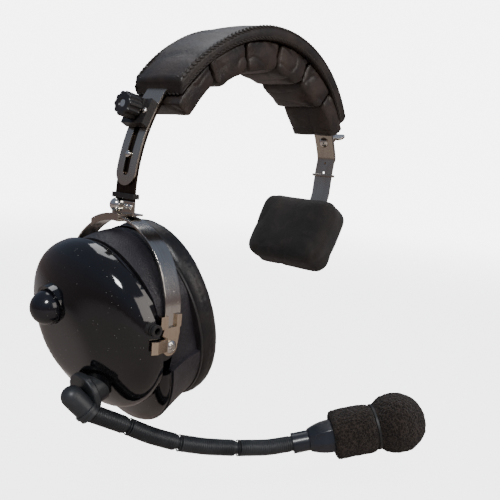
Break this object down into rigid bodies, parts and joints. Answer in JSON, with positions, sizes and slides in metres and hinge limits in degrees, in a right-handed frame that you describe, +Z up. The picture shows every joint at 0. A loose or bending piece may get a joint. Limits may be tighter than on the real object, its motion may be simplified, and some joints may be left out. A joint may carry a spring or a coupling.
{
  "type": "headset microphone",
  "caption": "Single-ear stage headset: padded sprung headband, temple pad, domed ear cup in a tilting stirrup with a push button, and a gooseneck boom microphone with foam windscreen.",
  "frame": {"origin": "the top of the wearer's head, which presses the crown cushions in by 2.5 mm", "axes": "+Z up, +Y the way the wearer faces, +X towards the ear cup on the wearer's right"},
  "size_m": [0.2445, 0.1785, 0.2398],
  "materials": {
    "bright_steel": "polished plated steel",
    "pebbled_black": "black shell with a pebbled grain",
    "black_plastic": "moulded black plastic",
    "boom_plastic": "satin dark grey plastic",
    "gloss_black": "polished black shell",
    "black_rubber": "moulded rubber",
    "padding_foam": "grey foam",
    "pad_leather": "warm black-brown leather, satin, softly creased",
    "dark_steel": "blackened spring steel",
    "cushion_vinyl": "smooth black vinyl over soft foam",
    "neck_sleeve": "ribbed flexible tube with a dark satin coat",
    "brushed_steel": "nickel-plated spring steel with a brushed face",
    "mic_plastic": "moulded blue-black plastic",
    "pad_lining": "dark woven lining",
    "pad_binding": "leather gusset between two lines of whip stitch",
    "gloss_rubber": "glossy rubber boot",
    "temple_foam": "matt skinned foam block",
    "windscreen_foam": "open-cell foam"
  },
  "bodies": {
    "headband": {"spring_band": "brushed_steel", "pad_cover": "pad_leather", "pad_gusset": "pad_binding", "pad_base": "pad_lining", "pad_foam": "padding_foam", "crown_cushion_1": "pad_leather", "crown_cushion_2": "pad_leather", "crown_cushion_3": "pad_leather", "crown_cushion_4": "pad_leather", "crown_cushion_5": "pad_leather", "crown_cushion_6": "pad_leather"},
    "cup_arm": {"cup_arm_strip": "dark_steel", "clamp_block": "black_plastic", "arm_rivets": "bright_steel", "clamp_stud": "bright_steel", "clamp_washer": "bright_steel", "guide_rivet": "bright_steel", "keeper_ring": "black_plastic", "joint_plate": "brushed_steel", "joint_screw": "bright_steel", "strap_saddle": "brushed_steel", "stirrup_strap": "brushed_steel", "pivot_bracket_front": "brushed_steel", "pivot_bracket_rear": "brushed_steel"},
    "clamp_knob": {"clamp_knob": "black_plastic"},
    "ear_cup": {"back_housing": "pebbled_black", "shoulder_shell": "gloss_black", "dome_cover": "gloss_black", "pivot_bosses": "gloss_black", "pivot_screws": "bright_steel", "base_ring": "black_plastic", "ear_cushion": "cushion_vinyl", "ear_foam": "padding_foam", "speaker_baffle": "black_plastic", "speaker_frame": "black_plastic", "speaker_magnet": "bright_steel", "chamber_foam": "padding_foam", "cable_inlet": "black_rubber", "button_bezel": "gloss_black", "talk_switch": "black_plastic", "boom_base": "black_plastic"},
    "talk_button": {"talk_button": "gloss_rubber"},
    "boom": {"boom_hub": "boom_plastic", "boom_elbow": "boom_plastic", "elbow_collar": "boom_plastic", "gooseneck_1": "neck_sleeve"},
    "neck_lower": {"gooseneck_2": "neck_sleeve"},
    "neck_middle": {"gooseneck_3": "neck_sleeve"},
    "microphone": {"gooseneck_4": "neck_sleeve", "mic_collar": "mic_plastic", "mic_housing": "mic_plastic", "mic_capsule": "bright_steel", "windscreen": "windscreen_foam", "windscreen_band": "black_rubber"},
    "pad_arm": {"pad_arm_strip": "brushed_steel", "pad_clamp_screw": "bright_steel", "pad_keeper_ring": "brushed_steel", "temple_pad": "temple_foam", "temple_plate": "black_plastic"},
    "wing_nut": {"wing_nut": "bright_steel"}
  },
  "joints": [
    {"name": "cup_arm_slide", "type": "hinge", "parent": "headband", "child": "cup_arm", "pos_m": [0, 0, -0.08], "axis": [0, 1, 0], "range_deg": [0, 4.5]},
    {"name": "clamp_knob_turn", "type": "hinge", "parent": "cup_arm", "child": "clamp_knob", "pos_m": [0.09861, 0, -0.03177], "axis": [0.9848, 0, 0.1736], "continuous": true},
    {"name": "cup_tilt", "type": "hinge", "parent": "cup_arm", "child": "ear_cup", "pos_m": [0.099, 0, -0.146], "axis": [0, 1, 0], "range_deg": [-10, 3]},
    {"name": "talk_button_press", "type": "slide", "parent": "ear_cup", "child": "talk_button", "axis": [-0.9613, 0, 0.2756], "range_m": [0, 0.0016], "stiffness_N_per_m": 400},
    {"name": "boom_swing", "type": "hinge", "parent": "ear_cup", "child": "boom", "pos_m": [0.12463, 0.014, -0.1705], "axis": [0.9613, 0, -0.2756], "range_deg": [-20, 45]},
    {"name": "gooseneck_bend_lower", "type": "hinge", "parent": "boom", "child": "neck_lower", "pos_m": [0.11, 0.0265, -0.189], "axis": [-0.4471, 0.1704, 0.8781], "range_deg": [-25, 25]},
    {"name": "gooseneck_bend_middle", "type": "hinge", "parent": "neck_lower", "child": "neck_middle", "pos_m": [0.086, 0.0385, -0.2015], "axis": [0.4741, 0.8805, 0], "range_deg": [-25, 25]},
    {"name": "gooseneck_bend_upper", "type": "hinge", "parent": "neck_middle", "child": "microphone", "pos_m": [0.0575, 0.055, -0.208], "axis": [-0.0953, 0.0578, 0.9938], "range_deg": [-25, 25]},
    {"name": "pad_arm_slide", "type": "hinge", "parent": "headband", "child": "pad_arm", "pos_m": [0, 0, -0.08], "axis": [0, -1, 0], "range_deg": [-3, 5]},
    {"name": "wing_nut_turn", "type": "hinge", "parent": "pad_arm", "child": "wing_nut", "pos_m": [-0.09258, 0, -0.03485], "axis": [-0.8988, 0, 0.4384], "continuous": true}
  ]
}
